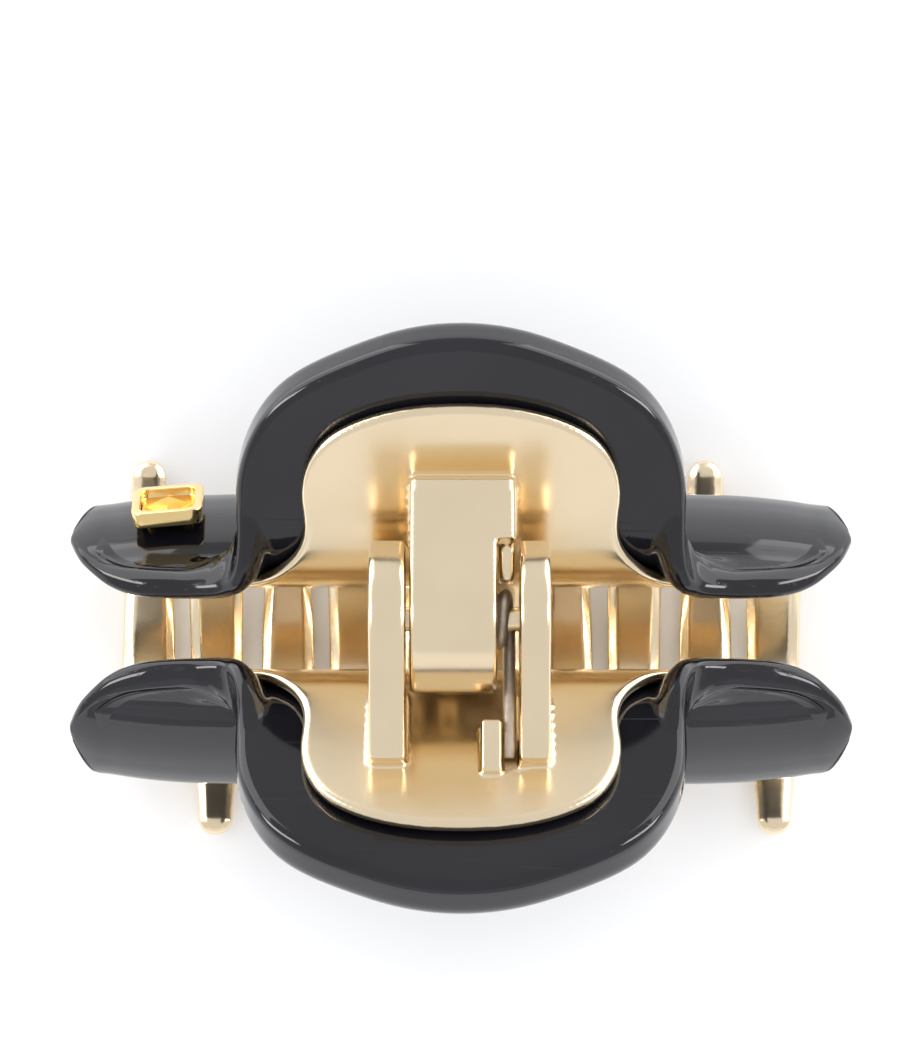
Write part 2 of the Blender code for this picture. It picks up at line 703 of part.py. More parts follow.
def spring_points():
    """Centre line of the spring, from the front leg's end to the rear leg's end."""
    front_angle, front_end = leg_line(LEG_ENDS[0], -1)
    rear_angle, rear_end = leg_line(LEG_ENDS[1], 1)
    sweep = rear_angle - (front_angle - 2 * math.pi) + 2 * math.pi * COIL_TURNS
    steps = 12 * COIL_TURNS
    points = [(COIL_RIGHT, *front_end)]
    left = COIL_RIGHT - COIL_PITCH * COIL_TURNS
    for step in range(steps + 1):
        ratio = step / steps
        angle = front_angle + sweep * ratio
        points.append((COIL_RIGHT + (left - COIL_RIGHT) * ratio,
                       COIL_RADIUS * math.cos(angle), COIL_RADIUS * math.sin(angle)))
    points.append((left, *rear_end))
    return points


def make_spring():
    curve = poly_curve("torsion_spring", spring_points(), cyclic=False)
    curve.data.dimensions = "3D"
    curve.data.bevel_depth = WIRE_RADIUS
    curve.data.bevel_resolution = 2
    curve.data.use_fill_caps = True
    curve.matrix_world = Matrix.Translation((0, 0, PIN_Z))
    as_part(mesh_from_curve(curve), "torsion_spring", STEEL)


# ---------------------------------------------------------------- studs and ornament


def add_studs(jaw, frame, shell, turn):
    """Locating studs of one jaw, with their blind holes in the frame and the shell."""
    for side, (x, s, length) in STUD_PLACES.items():
        place = turn @ jaw_place(x, s, 0.0)
        hole_radius = STUD_RADIUS + STUD_PLAY
        for piece in (frame, shell):
            cut(piece, cylinder(f"{piece.name}_hole_{side}", hole_radius,
                                STUD_START - STUD_PLAY, length + STUD_PLAY, place,
                                SMALL_SIDES))
        stud = cylinder("stud", STUD_RADIUS, STUD_START, length, place, SMALL_SIDES)
        as_part(stud, f"{jaw}_stud_{side}", STEEL)


def rounded_tile(name, size, low, high, rounding, place):
    """Square tile with round corners, from low to high on the place's Z axis."""
    work = bmesh.new()
    bmesh.ops.create_cube(work, size=1.0)
    bmesh.ops.scale(work, vec=(size, size, high - low), verts=work.verts)
    bmesh.ops.translate(work, vec=(0, 0, (low + high) / 2), verts=work.verts)
    upright = [edge for edge in work.edges
               if abs(edge.verts[0].co.z - edge.verts[1].co.z) > MM / 100]
    bmesh.ops.bevel(work, geom=upright, offset=rounding, segments=4, affect="EDGES",
                    profile=0.5)
    item = mesh_object(name, work)
    item.matrix_world = place
    return item


def make_ornament(shell):
    """Square ornament with a recess and a low pyramid, on two posts in the shell."""
    x, s = ORNAMENT_PLACE
    surface = shell_outer(x, s)
    place = HALF_TURN @ jaw_place(x, s, surface) @ Matrix.Rotation(ORNAMENT_TILT, 4, "Y")
    back = ORNAMENT_STANDOFF
    front = back + ORNAMENT_DEPTH
    floor = front - ORNAMENT_RECESS
    bezel = rounded_tile("bezel", ORNAMENT_SIZE, back, front, ORNAMENT_ROUND, place)
    inside = ORNAMENT_SIZE - 2 * ORNAMENT_WALL
    cut(bezel, rounded_tile("ornament_recess", inside, floor, front + MM,
                            ORNAMENT_ROUND - ORNAMENT_WALL / 2, place))
    as_part(bezel, "ornament_bezel", POLISHED_GOLD)

    work = bmesh.new()
    lift = floor + FIT_GAP + PYRAMID_HEIGHT / 2
    bmesh.ops.create_cone(work, cap_ends=True, segments=4, radius1=PYRAMID_BASE,
                          radius2=PYRAMID_TOP, depth=PYRAMID_HEIGHT,
                          matrix=Matrix.Translation((0, 0, lift)))
    centre = mesh_object("centre", work)
    centre.matrix_world = place
    as_part(centre, "ornament_centre", POLISHED_GOLD)

    for side, shift in (("left", -1), ("right", 1)):
        seat = place @ Matrix.Translation((-shift * POST_SPACING / 2, 0, 0))
        post = cylinder("post", POST_RADIUS, -POST_DEPTH, back - STUD_PLAY, seat, SMALL_SIDES)
        as_part(post, f"ornament_post_{side}", POLISHED_GOLD)
        cut(shell, cylinder(f"ornament_hole_{side}", POST_RADIUS + STUD_PLAY,
                            -POST_DEPTH - STUD_PLAY, 2 * MM, seat, SMALL_SIDES))


# ---------------------------------------------------------------- assembly

clear_scene()
PARTS = new_collection("Hair claw clip")
TOOLS = new_collection("Cutters")

GOLD = new_material("satin gold plating", (0.86, 0.70, 0.46), 0.24, 1.0)
POLISHED_GOLD = new_material("polished gold plating", (0.85, 0.58, 0.18), 0.15, 1.0)
ACETATE = new_material("black acetate", (0.012, 0.014, 0.02), 0.08, 0.0)
STEEL = new_material("spring steel", (0.42, 0.39, 0.36), 0.3, 1.0)

front_frame = jaw_frame("front_frame")
for ear_number, ear_span in enumerate(EAR_SPANS):
    join(front_frame, side_block(f"ear_{ear_number + 1}", ear_outline(), ear_span))
join(front_frame, side_block("slot_lug", lug_outline(*LUG_PLACE), LUG_SPAN))
join(front_frame, side_block("slot_wall", wall_outline(*WALL_PLACE, WALL_HEIGHT), WALL_SPAN))
cut(front_frame, bore("front_bore"))
front_shell = shell_solid("front_shell")
add_studs("front", front_frame, front_shell, Matrix.Identity(4))
as_part(front_frame, "front_frame", GOLD)
as_part(front_shell, "front_shell", ACETATE)

rear_frame = jaw_frame("rear_frame")
rear_frame.data.transform(HALF_TURN)
for modifier in rear_frame.modifiers:
    modifier.object.data.transform(HALF_TURN)
join(rear_frame, hood_roof())
join(rear_frame, side_block("hood_cheek", cheek_outline(), HOOD_CHEEK))
join(rear_frame, side_block("hood_web", cheek_outline(), HOOD_WEB))
join(rear_frame, side_block("hood_side", side_outline(), HOOD_SIDE))
cut(rear_frame, bore("rear_bore"))
rear_shell = shell_solid("rear_shell")
rear_shell.data.transform(HALF_TURN)
add_studs("rear", rear_frame, rear_shell, HALF_TURN)
make_ornament(rear_shell)
as_part(rear_frame, "rear_frame", GOLD)
as_part(rear_shell, "rear_shell", ACETATE)

pin = cylinder("pin", PIN_RADIUS, *PIN_ENDS, hinge_place(), ROUND_SIDES)
as_part(pin, "hinge_pin", GOLD)
make_spring()
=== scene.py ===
"""Looks of the hair claw clip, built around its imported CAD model.

Lengths in this file are millimetres until a mesh is made; the scene is in metres, +Z up.
The jaws are followed by x along the hinge, s along the profile (0 at the waist, up the
handle, negative down the body) and an offset outwards from the frame's inner face.
"""

import math

import bmesh
import bpy
import numpy as np
from mathutils import Matrix, Vector


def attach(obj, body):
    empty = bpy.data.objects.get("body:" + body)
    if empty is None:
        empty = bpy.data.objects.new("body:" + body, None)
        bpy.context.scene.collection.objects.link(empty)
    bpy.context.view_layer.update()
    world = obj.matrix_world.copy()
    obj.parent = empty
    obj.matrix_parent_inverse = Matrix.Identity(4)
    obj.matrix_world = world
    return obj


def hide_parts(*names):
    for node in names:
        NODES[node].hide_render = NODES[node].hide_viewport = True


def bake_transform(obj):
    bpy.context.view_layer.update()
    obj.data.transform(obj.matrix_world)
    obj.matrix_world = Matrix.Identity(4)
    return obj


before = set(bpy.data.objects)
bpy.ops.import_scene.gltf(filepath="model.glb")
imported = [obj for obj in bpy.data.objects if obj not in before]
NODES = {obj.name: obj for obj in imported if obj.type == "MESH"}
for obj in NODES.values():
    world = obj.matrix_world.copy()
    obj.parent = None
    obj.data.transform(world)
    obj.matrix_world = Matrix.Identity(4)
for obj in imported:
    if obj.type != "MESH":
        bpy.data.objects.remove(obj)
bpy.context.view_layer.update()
MM = 0.001

# ---------------------------------------------------------------- dimensions

# Most are the CAD's own values. EAR_SPANS, PIN_ENDS, TOOTH_TIP_WIDTH, LIP_WIDTH and the hood's
# roof aren't, and some are needed only for these finer meshes.
WAIST_GAP = 2.9
WAIST_RADIUS = 6.0
HANDLE_SLOPE = math.radians(38)
WAIST_DOWN = math.radians(45)
BODY_RADIUS = 9.6
PLATE = 1.0
TOOTH_PITCH = 10.3
TOOTH_SHIFT = -2.5
TOOTH_WIDTH = 4.3
TOOTH_TIP_WIDTH = 2.8
TOOTH_THICKNESS = 1.9
TOOTH_REACH = 13.6
TOOTH_RISE_RADIUS = 40.0
ROOT_TURN = (20, 90)             # degrees round the body over which a tooth leaves the plate
ROOT_THICKNESS = 0.7 * PLATE
ROOT_SUNK = 0.15 * PLATE
ROOT_FLARE = 1.6
SHELL_SEAT = 1.3
LIP_IN = -0.8
PIN_RISE = 8.7
PIN_RADIUS = 0.85
PIN_ENDS = (-6.3, 6.05)
BORE_RADIUS = 1.0
EAR_RADIUS = 5.5
EAR_SPANS = ((-6.4, -3.85), (4.05, 6.2))
EAR_ROOT = 9.8
EAR_FOOT = 5.6
EAR_FACET = ((5.38, -1.2), (5.45, 0.8))
EAR_LOBE = (EAR_RADIUS, 39, 112, 28)
EAR_UNDER = (4.7, 232, 340, 20)
BLOCK_SEAT = 0.85 * PLATE        # how deep the ears, hood's sides and lug reach into the plate
LUG = (6.95, 10.6, 0.9)          # start and end from the middle plane, and height
LUG_SPAN = (1.4, 2.85)
WALL = (9.0, 10.4, 1.1)
WALL_SPAN = (4.0, 4.8)
HOOD_RADIUS = 5.2
HOOD_ROOF = 1.4
HOOD_LEFT = -3.55
HOOD_RIGHT = 3.75
HOOD_NOTCH = (2.5, 5.4)
HOOD_CORNER = 1.15
CHEEK_SPANS = ((-3.5, -2.75), (-1.5, -0.3))
CHEEK_TOP = (188, 66, 24)
CHEEK_CORNER = (8.4, 1.9)
CHEEK_FEET = (9.3, 5.8)
CHEEK_UNDER = (3.1, -50, -170, 16)
SIDE_SPAN = (2.6, 3.7)
SIDE_TOP = (5.5, 3.2)
SIDE_FEET = (9.3, 6.0)
SIDE_TAB = ((4.9, -2.6), (2.5, -1.1), (2.5, 1.7), (2.9, 2.0), (5.5, 2.0))
# The roof's outer and inner faces from the root forwards: distance and height over the pin
ROOF_OUTSIDE = ((9.9, -0.2), (9.9, 1.6), (9.65, 2.2), (8.8, 2.66), (8.0, 2.92), (5.41, 3.74),
                (5.39, 3.75), (3.5, 4.35))
ROOF_INSIDE = ((9.2, 0.1), (8.9, 0.45), (8.5, 0.9), (8.1, 1.2), (7.5, 1.41), (5.0, 2.28),
               (4.98, 2.29), (3.2, 2.9))
WIRE_RADIUS = 0.45
COIL_RADIUS = 1.65
COIL_PITCH = 0.95
COIL_TURNS = 3
COIL_RIGHT = 3.35
LEG_ENDS = (9.9, 8.3)
ORNAMENT_SIZE = 5.1
ORNAMENT_DEPTH = 1.2
ORNAMENT_WALL = 0.6
ORNAMENT_RECESS = 0.7
ORNAMENT_STANDOFF = 0.55
ORNAMENT_PLACE = (20.9, -7.6)
ORNAMENT_TILT = math.radians(5)
POST_SPACING = 2.6

# (bottom x, bottom s, top x, top s) of ribs from the centre line to the right end
PLATE_RIBS = ((0.0, -17.0, 0.0, 17.15), (2.5, -17.0, 4.9, 16.65), (5.0, -17.0, 9.0, 14.85),
              (6.8, -17.0, 10.8, 12.2), (8.4, -17.0, 11.2, 9.6), (9.8, -17.0, 10.95, 7.0),
              (11.0, -17.0, 11.4, 5.2), (12.2, -17.0, 12.45, 3.5), (13.6, -17.0, 13.9, 1.65),
              (15.6, -17.0, 15.6, -0.2), (17.9, -17.0, 17.7, -1.4), (20.4, -17.0, 20.3, -2.6),
              (22.7, -17.0, 22.6, -4.2), (24.2, -16.6, 24.1, -6.6), (25.0, -15.8, 25.0, -9.8))
SHELL_RIBS = ((0.0, -17.3, 0.0, 21.7), (2.2, -17.3, 4.0, 21.2), (4.0, -17.3, 7.8, 19.7),
              (6.2, -17.3, 12.3, 17.3), (8.0, -17.3, 14.8, 13.6), (9.6, -17.3, 15.9, 9.2),
              (11.4, -17.3, 15.65, 5.0), (13.6, -17.3, 16.4, 1.9), (16.6, -17.3, 18.8, 0.35),
              (20.4, -17.1, 22.2, -0.45), (23.3, -16.3, 24.9, -1.95), (25.7, -14.2, 26.45, -3.7),
              (27.15, -11.4, 27.45, -5.2), (27.85, -8.8, 28.0, -6.8))
MIDDLE_OFFSETS = ((-17.3, 2.7), (-12.2, 3.4), (-6.0, 3.9), (0.0, 4.6), (6.0, 5.3),
                  (21.7, 5.3))
WING_OFFSETS = ((-17.3, 2.5), (-13.5, 3.0), (-12.2, 3.05), (-11.0, 2.8), (-9.5, 2.45),
                (-7.1, 2.1), (-4.7, 1.9), (-2.6, 1.6), (-1.0, 1.15), (0.0, 1.0), (6.0, 1.0))
# The wings' crown: |x|, fall of the outer face, and rise of the rim's inner face
WING_FALL = ((17.0, 0.0), (20.0, 0.1), (22.4, 0.3), (24.0, 0.5), (25.3, 0.7), (26.3, 0.8),
             (27.3, 0.95), (28.0, 1.05))
RIM_RISE = ((20.0, 0.0), (22.4, 0.05), (24.0, 0.2), (25.3, 0.5), (26.3, 0.85), (27.3, 1.05),
            (28.0, 1.15))
STEP_START = 13.0                # |x| where the thick middle rounds off towards the wing
STEP_END = 15.8
EDGE_STEP = (11.5, 20.0)         # the same along the top edge, where it is drawn out
EDGE_BAND = (-3.5, -2.1)         # s over which the one turns into the other
MIDDLE_LEAN = 0.9
LIP_START = 8.5
LIP_FULL = 15.0
LIP_WIDTH = 0.95                 # from the top edge; the CAD's is measured from its rounding
NECK = (0.3, 3.2)                # s over which the rim's inner side flattens up the neck
NECK_FALL = 2.4
WING_END = 28.1
SEAT_END = 25.6                  # |x| beyond the frame, where the seat bends inwards
SEAT_FALL = 1.1
SHELL_FOOT = 0.5                 # rounding of the shell's lower edge
EDGE_REACH = 0.8                 # the outer face is read at least this far from the top edge
INNER_ROUND = (0.75, 0.36)       # top edge's roundings: largest radius, share of thickness
OUTER_ROUND = (1.9, 0.46)
PLATE_EDGE = 0.42

# Fineness of the meshes: ribs across a jaw, passes that smooth their ends, steps on a rib,
# and the size of the castings' voxels
SHELL_STATIONS = 300
SHELL_SMOOTHING = 40
SHELL_STEPS = 90
PLATE_STATIONS = 260
PLATE_SMOOTHING = 20
VOXEL = 0.15

STRAIGHT_START = WAIST_RADIUS * (math.pi / 2 - HANDLE_SLOPE)
BODY_START = -WAIST_RADIUS * WAIST_DOWN
WAIST_CENTRE = Vector((WAIST_GAP + WAIST_RADIUS, 0.0))
BODY_CENTRE = WAIST_CENTRE - (WAIST_RADIUS + BODY_RADIUS) * Vector(
    (math.cos(WAIST_DOWN), math.sin(WAIST_DOWN)))
WAIST_Z = BODY_RADIUS + TOOTH_THICKNESS - BODY_CENTRE.y
PIN_Z = WAIST_Z + PIN_RISE

# ---------------------------------------------------------------- meshes


def new_object(name, points, faces):
    """Mesh object from points in mm."""
    mesh = bpy.data.meshes.new(name)
    mesh.from_pydata([(x * MM, y * MM, z * MM) for x, y, z in points], [], faces)
    work = bmesh.new()
    work.from_mesh(mesh)
    bmesh.ops.recalc_face_normals(work, faces=work.faces)
    work.to_mesh(mesh)
    work.free()
    mesh.shade_smooth()
    item = bpy.data.objects.new(name, mesh)
    bpy.context.scene.collection.objects.link(item)
    return item


def loft_mesh(rings):
    """Points and faces of a capped solid through rings with the same number of points."""
    count = len(rings[0])
    points = [tuple(point) for ring in rings for point in ring]
    faces = []
    for ring in range(len(rings) - 1):
        low = ring * count
        for index in range(count):
            after = (index + 1) % count
            faces.append((low + index, low + after, low + count + after, low + count + index))
    faces.append(tuple(range(count)))
    faces.append(tuple(range(len(points) - count, len(points))))
    return points, faces


def merged(parts):
    """One list of points and faces from several."""
    points = []
    faces = []
    for part_points, part_faces in parts:
        start = len(points)
        points.extend(part_points)
        faces.extend(tuple(start + index for index in face) for face in part_faces)
    return points, faces


def apply_modifiers(item):
    bpy.context.view_layer.update()
    depsgraph = bpy.context.evaluated_depsgraph_get()
    mesh = bpy.data.meshes.new_from_object(item.evaluated_get(depsgraph))
    item.modifiers.clear()
    item.data = mesh
    return item


def blend(value, low, high):
    """0 below low, 1 above high, and a smooth ramp in between."""
    ratio = min(max((value - low) / (high - low), 0.0), 1.0)
    return ratio * ratio * (3 - 2 * ratio)


def read_off(table, s):
    """Value at s on a smooth curve through a table of (s, value)."""
    place = min(max(s, table[0][0]), table[-1][0])
    index = 0
    while index < len(table) - 2 and place > table[index + 1][0]:
        index += 1

    def slope(row):
        first = table[max(row - 1, 0)]
        last = table[min(row + 1, len(table) - 1)]
        return (last[1] - first[1]) / (last[0] - first[0])

    (low, start), (high, end) = table[index], table[index + 1]
    width = high - low
    t = (place - low) / width
    return (start * (1 + 2 * t) * (1 - t) ** 2 + end * t * t * (3 - 2 * t)
            + width * (slope(index) * t * (1 - t) ** 2 - slope(index + 1) * t * t * (1 - t)))


# ---------------------------------------------------------------- the jaw's surface


def profile(s):
    """Point (u, z) of the jaw's inner face at arc length s, and its outward normal."""
    if s > STRAIGHT_START:
        along = Vector((math.cos(HANDLE_SLOPE), math.sin(HANDLE_SLOPE)))
        normal = Vector((along.y, -along.x))
        return WAIST_CENTRE - WAIST_RADIUS * normal + (s - STRAIGHT_START) * along, normal
    if s > BODY_START:
        turn = s / WAIST_RADIUS
        normal = Vector((math.cos(turn), -math.sin(turn)))
        return WAIST_CENTRE - WAIST_RADIUS * normal, normal
    turn = WAIST_DOWN + (s - BODY_START) / BODY_RADIUS
    normal = Vector((math.cos(turn), math.sin(turn)))
    return BODY_CENTRE + BODY_RADIUS * normal, normal


def jaw_point(x, s, offset):
    point, normal = profile(s)
    point = point + offset * normal
    return Vector((x, -point.x, WAIST_Z + point.y))


def jaw_place(x, s, offset):
    """Matrix of a place on the front jaw: Z outwards, X along the hinge."""
    outwards = (jaw_point(x, s, 1.0) - jaw_point(x, s, 0.0)).normalized()
    across = Vector((1, 0, 0))
    axes = Matrix((across, outwards.cross(across), outwards)).transposed()
    return Matrix.Translation(jaw_point(x, s, offset)) @ axes.to_4x4()


def s_at(u):
    """Arc length at which the handle's straight part is u from the middle plane."""
    start, _ = profile(STRAIGHT_START)
    return STRAIGHT_START + (u - start.x) / math.cos(HANDLE_SLOPE)


def edge_curve(points, stations, outside, smoothing):
    """Stations along an edge from its left end to its right end, with outward normals."""
    knots = np.array(points, float)
    ratios = np.abs(np.linspace(-1, 1, stations + 1)) * (len(knots) - 1)
    before = np.vstack(((-knots[1, 0], knots[1, 1]), knots[:-1]))
    after = np.vstack((knots[1:], 2 * knots[-1] - knots[-2]))
    tangents = (after - before) / 2
    index = np.minimum(ratios.astype(int), len(knots) - 2)
    t = (ratios - index)[:, None]
    start, end = knots[index], knots[index + 1]
    path = (start * (1 + 2 * t) * (1 - t) ** 2 + end * t * t * (3 - 2 * t)
            + tangents[index] * t * (1 - t) ** 2 - tangents[index + 1] * t * t * (1 - t))
    path[: stations // 2, 0] *= -1
    for _ in range(smoothing):
        path[1:-1] = (path[:-2] + 2 * path[1:-1] + path[2:]) / 4
    run = np.gradient(path, axis=0)
    normals = np.column_stack((-run[:, 1], run[:, 0])) * outside
    normals /= np.linalg.norm(normals, axis=1)[:, None]
    weights = np.array([blend(abs(t), 0.8, 1.0) for t in np.linspace(-1, 1, stations + 1)])
    normals += weights[:, None] * (np.array((0.0, outside)) - normals)
    normals /= np.linalg.norm(normals, axis=1)[:, None]
    return [Vector(p) for p in path], [Vector(n) for n in normals]


class Rib:
    """Path (x, s) from a top edge to a bottom edge, square to both, read by distance."""

    def __init__(self, top, top_normal, bottom, bottom_normal):
        reach = min(0.35 * (top - bottom).length, 5.0)
        ends = (top, top - reach * top_normal, bottom - reach * bottom_normal, bottom)
        t = np.linspace(0, 1, 81)[:, None]
        ends = [np.array(end) for end in ends]
        self.path = ((1 - t) ** 3 * ends[0] + 3 * t * (1 - t) ** 2 * ends[1]
                     + 3 * t * t * (1 - t) * ends[2] + t ** 3 * ends[3])
        steps = np.linalg.norm(np.diff(self.path, axis=0), axis=1)
        self.lengths = np.concatenate(((0.0,), np.cumsum(steps)))
        self.length = self.lengths[-1]

    def at(self, distance):
        return (float(np.interp(distance, self.lengths, self.path[:, 0])),
                float(np.interp(distance, self.lengths, self.path[:, 1])))


def corner(radius, steps, opening):
    """(depth, drop) round a quarter circle, from the face to the edge or back again."""
    pairs = []
    for step in range(steps + 1):
        angle = math.pi / 2 * step / steps
        if opening:
            pairs.append((radius * (1 - math.sin(angle)), radius * (1 - math.cos(angle))))
        else:
            pairs.append((radius * (1 - math.cos(angle)), radius * (1 - math.sin(angle))))
    return pairs


# ---------------------------------------------------------------- shells


def shell_outer(x, s):
    """Offset of the shell's outer face: a thick middle that steps down to crowned wings."""
    lean = abs(x) - MIDDLE_LEAN * max(s, 0.0)
    crisp = min(max((lean - STEP_START) / (STEP_END - STEP_START), 0.0), 1.0) ** 1.9
    step = crisp + (blend(lean, *EDGE_STEP) - crisp) * blend(s, *EDGE_BAND)
    wing = read_off(WING_OFFSETS, s) - read_off(WING_FALL, abs(x))
    middle = read_off(MIDDLE_OFFSETS, s)
    return middle + step * (wing - middle)


def shell_seat(x):
    """Offset of the shell's inner face, which bends inwards beyond the frame."""
    return SHELL_SEAT - SEAT_FALL * blend(abs(x), SEAT_END, WING_END)


def rim_inner(x, s):
    """Offset of the inner face of the shell's rim, proud of the frame along the wings."""
    share = blend(abs(x) - MIDDLE_LEAN * max(s, 0.0), LIP_START, LIP_FULL)
    return SHELL_SEAT + share * (LIP_IN + read_off(RIM_RISE, abs(x)) - SHELL_SEAT)


def shell_ring(rib):
    """Cross-section of the shell along one rib, as (x, s, offset)."""
    x, s = rib.at(0.0)
    left = min(WING_END - abs(x), 1.0)
    taper = math.sqrt(1 - (1 - left) ** 2)
    edge_in = rim_inner(x, s)
    edge_out = shell_outer(*rib.at(EDGE_REACH))
    mean = (edge_in + edge_out) / 2
    ring = []

    def put(distance, offset):
        spot = rib.at(distance)
        ring.append((*spot, mean + (offset - mean) * taper))

    def put_seat(distance, rise=0.0):
        put(distance, shell_seat(rib.at(distance)[0]) + rise)

    thickness = edge_out - edge_in
    neck = blend(s, *NECK)
    inner_round = min(INNER_ROUND[0], INNER_ROUND[1] * thickness)
    outer_round = min(OUTER_ROUND[0], OUTER_ROUND[1] * thickness)
    foot = SHELL_FOOT
    for depth, drop in corner(inner_round, 7, True):
        put(depth, edge_in + drop)
    for step in (0.25, 0.5, 0.75):
        put(0.0, edge_in + inner_round + step * (thickness - inner_round - outer_round))
    for depth, drop in corner(outer_round, 9, False):
        put(depth, shell_outer(*rib.at(depth + EDGE_REACH)) - drop)
    for step in range(1, SHELL_STEPS):
        distance = outer_round + (rib.length - outer_round - foot) * step / SHELL_STEPS
        put(distance, shell_outer(*rib.at(max(distance, EDGE_REACH))))
    low_out = shell_outer(*rib.at(rib.length))
    for depth, drop in corner(foot, 5, True):
        put(rib.length - depth, low_out - drop)
    put(rib.length, (low_out + shell_seat(rib.at(rib.length)[0])) / 2)
    for depth, drop in corner(foot, 5, False):
        put_seat(rib.length - depth, drop)
    lip_end = max(LIP_WIDTH, inner_round + 0.1)
    fall = 0.2 + NECK_FALL * neck
    inside = 40
    for step in range(1, inside):
        put_seat(rib.length - foot + (lip_end + fall + foot - rib.length) * step / inside)
    for step in (0.0, 0.03, 0.1, 0.22, 0.36, 0.5, 0.64, 0.78, 0.9, 0.97, 1.0):
        distance = lip_end + fall * (1 - math.asin(2 * step - 1) / math.pi - 0.5)
        seat = shell_seat(rib.at(distance)[0])
        put(distance, seat + step * (edge_in - seat))
    return ring


def ribs_across(ribs, stations, smoothing):
    """Ribs at even stations from a jaw's left end to its right end."""
    top, top_normals = edge_curve([row[2:] for row in ribs], stations, 1, smoothing)
    bottom, bottom_normals = edge_curve([row[:2] for row in ribs], stations, -1, smoothing)
    return [Rib(*place) for place in zip(top, top_normals, bottom, bottom_normals)]


def shell_mesh():
    ribs = ribs_across(SHELL_RIBS, SHELL_STATIONS, SHELL_SMOOTHING)
    return loft_mesh([[jaw_point(*spot) for spot in shell_ring(rib)] for rib in ribs])


# ---------------------------------------------------------------- frames


def plate_mesh():
    opening = corner(PLATE_EDGE, 5, True)
    closing = corner(PLATE_EDGE, 5, False)
    rings = []
    for rib in ribs_across(PLATE_RIBS, PLATE_STATIONS, PLATE_SMOOTHING):
        faces = np.linspace(PLATE_EDGE, rib.length - PLATE_EDGE, 80)[1:-1]
        ring = opening + [(depth, PLATE - drop) for depth, drop in closing]
        ring += [(distance, PLATE) for distance in faces]
        ring += [(rib.length - depth, PLATE - drop) for depth, drop in opening]
        ring += [(rib.length - depth, drop) for depth, drop in closing]
        ring += [(distance, 0.0) for distance in faces[::-1]]
        rings.append([jaw_point(*rib.at(distance), offset) for distance, offset in ring])
    return loft_mesh(rings)


def bevelled_bar(middle, across, outwards, half_width, half_depth, bevel):
    """One ring of a bar with wide bevels on its four long edges."""
    flat = half_width - bevel
    side = 0.5 * half_depth
    corners = ((half_width, side), (flat, half_depth), (-flat, half_depth), (-half_width, side),
               (-half_width, -side), (-flat, -half_depth), (flat, -half_depth),
               (half_width, -side))
    return [middle + wide * across + deep * outwards for wide, deep in corners]


def tooth_mesh(x):
    """One tooth of the front jaw, from inside the plate round to its tip."""
    stations = []
    for turn in np.linspace(*ROOT_TURN, 36).tolist():
        angle = math.radians(turn)
        normal = Vector((math.cos(angle), -math.sin(angle)))
        down = blend(turn, 26, 66)
        thickness = ROOT_THICKNESS + down * (TOOTH_THICKNESS - ROOT_THICKNESS)
        sunk = ROOT_SUNK * (1 - down)
        flare = ROOT_FLARE * (1 - blend(turn, 20, 44))
        spot = BODY_CENTRE + (BODY_RADIUS + sunk) * normal
        stations.append((spot, normal, -0.25 * (1 - (turn - 20) / 70), thickness, flare))
    lowest = BODY_CENTRE - Vector((0.0, BODY_RADIUS))
    last = math.asin((TOOTH_REACH + lowest.x) / TOOTH_RISE_RADIUS)
    tip = 1 - 0.1 * np.cos(np.linspace(0.1, math.pi / 2, 12))
    for ratio in np.concatenate((np.linspace(0.03, 0.9, 34), tip)).tolist():
        angle = last * ratio
        spot = lowest + TOOTH_RISE_RADIUS * Vector((-math.sin(angle), 1 - math.cos(angle)))
        normal = Vector((-math.sin(angle), -math.cos(angle)))
        stations.append((spot, normal, ratio, TOOTH_THICKNESS, 0.0))
    rings = []
    for spot, normal, ratio, thickness, flare in stations:
        width = TOOTH_WIDTH + flare + blend(ratio, -0.6, 1.0) * (TOOTH_TIP_WIDTH - TOOTH_WIDTH)
        shrink = math.sqrt(max(1 - (max(ratio - 0.9, 0.0) / 0.1) ** 2, 0.004))
        shrink *= 1 - 0.12 * blend(ratio, 0.5, 1.0)
        middle = spot + normal * thickness / 2
        rings.append(bevelled_bar(Vector((x, -middle.x, WAIST_Z + middle.y)),
                                  Vector((1, 0, 0)), Vector((0, -normal.x, normal.y)),
                                  width / 2 * shrink, thickness / 2 * shrink, 0.7 * shrink))
    return loft_mesh(rings)


def inset(outline, amount):
    """A closed outline of (y, z) moved inwards by an amount."""
    points = np.array(outline, float)
    area = np.sum(points[:, 0] * np.roll(points[:, 1], -1)
                  - np.roll(points[:, 0], -1) * points[:, 1])
    turn = 1.0 if area > 0 else -1.0
    ahead = np.roll(points, -1, axis=0) - points
    ahead /= np.linalg.norm(ahead, axis=1)[:, None]
    behind = np.roll(ahead, 1, axis=0)
    inward_ahead = np.column_stack((-ahead[:, 1], ahead[:, 0])) * turn
    inward_behind = np.column_stack((-behind[:, 1], behind[:, 0])) * turn
    bisector = inward_ahead + inward_behind
    scale = 2 / np.maximum(np.sum(bisector ** 2, axis=1), 0.6)
    return points + amount * bisector * scale[:, None]


def block_mesh(outline, span, rounding):
    """Block with an outline of (y, z) points across a span of x, its edges rounded."""
    rings = []
    rounded = corner(rounding, 5, True)
    for x, inwards, sequence in ((span[0], 1, rounded), (span[1], -1, rounded[::-1])):
        for depth, drop in sequence:
            ring = inset(outline, depth) if depth > 1e-6 else np.array(outline, float)
            rings.append([(x + inwards * drop, y, z) for y, z in ring])
    return loft_mesh(rings)


def round_pin(radius, start, end, steps):
    angles = [math.radians(start + (end - start) * step / steps) for step in range(steps + 1)]
    return [(radius * math.cos(angle), PIN_Z + radius * math.sin(angle)) for angle in angles]


def over_pin(*points):
    return [(distance, PIN_Z + height) for distance, height in points]


